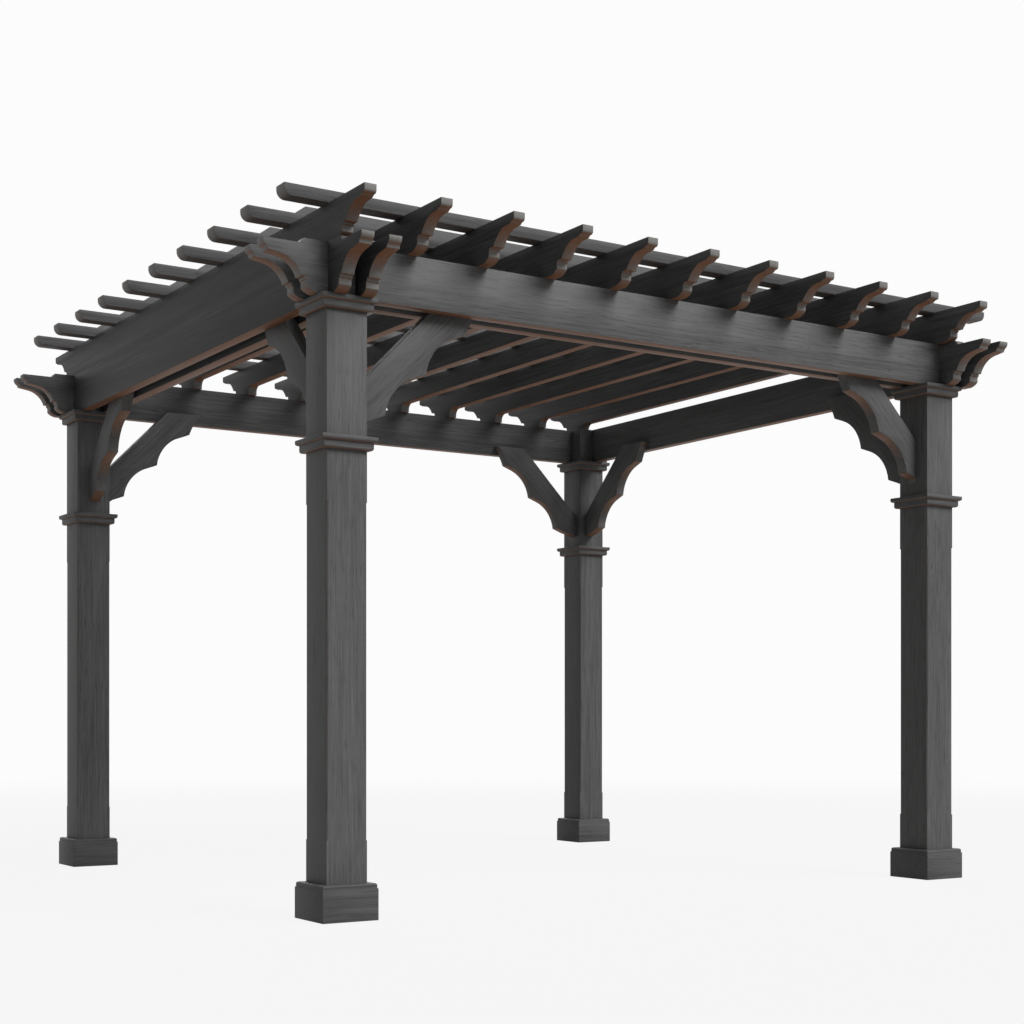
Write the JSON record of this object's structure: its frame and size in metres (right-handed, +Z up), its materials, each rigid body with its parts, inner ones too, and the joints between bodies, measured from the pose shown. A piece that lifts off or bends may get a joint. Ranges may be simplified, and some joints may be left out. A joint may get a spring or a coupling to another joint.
{
  "type": "wooden pergola",
  "caption": "Open timber pergola: square posts with trim and collars, paired beams with shaped tails, scalloped knee braces, rafters and cross purlins.",
  "frame": {"origin": "centre of the four posts at ground level", "axes": "+Z up, +X along the front from the left post to the right post, +Y from the front to the back; the rafters run along Y and the purlins along X"},
  "size_m": [3.364, 3.032, 2.419],
  "materials": {
    "posts": "dark charcoal wood stain, matt",
    "trim": "dark charcoal wood stain, matt",
    "beams": "dark charcoal wood stain, matt",
    "braces": "dark charcoal wood stain, matt",
    "rafters": "dark charcoal wood stain, matt",
    "purlins": "dark charcoal wood stain, matt"
  },
  "bodies": {
    "root": {"base_trim_back_left": "trim", "base_trim_back_right": "trim", "base_trim_front_left": "trim", "base_trim_front_right": "trim", "beam_back": "beams", "beam_front": "beams", "beam_left": "beams", "beam_right": "beams", "brace_back_at_left": "braces", "brace_back_at_right": "braces", "brace_front_at_left": "braces", "brace_front_at_right": "braces", "brace_left_at_back": "braces", "brace_left_at_front": "braces", "brace_right_at_back": "braces", "brace_right_at_front": "braces", "collars_back_left": "trim", "collars_back_right": "trim", "collars_front_left": "trim", "collars_front_right": "trim", "post_back_left": "posts", "post_back_right": "posts", "post_front_left": "posts", "post_front_right": "posts", "purlin_01": "purlins", "purlin_02": "purlins", "purlin_03": "purlins", "purlin_04": "purlins", "purlin_05": "purlins", "purlin_06": "purlins", "purlin_07": "purlins", "purlin_08": "purlins", "purlin_09": "purlins", "purlin_10": "purlins", "rafter_01": "rafters", "rafter_02": "rafters", "rafter_03": "rafters", "rafter_04": "rafters", "rafter_05": "rafters", "rafter_06": "rafters", "rafter_07": "rafters", "rafter_08": "rafters", "rafter_09": "rafters", "rafter_10": "rafters", "rafter_11": "rafters"}
  },
  "joints": []
}
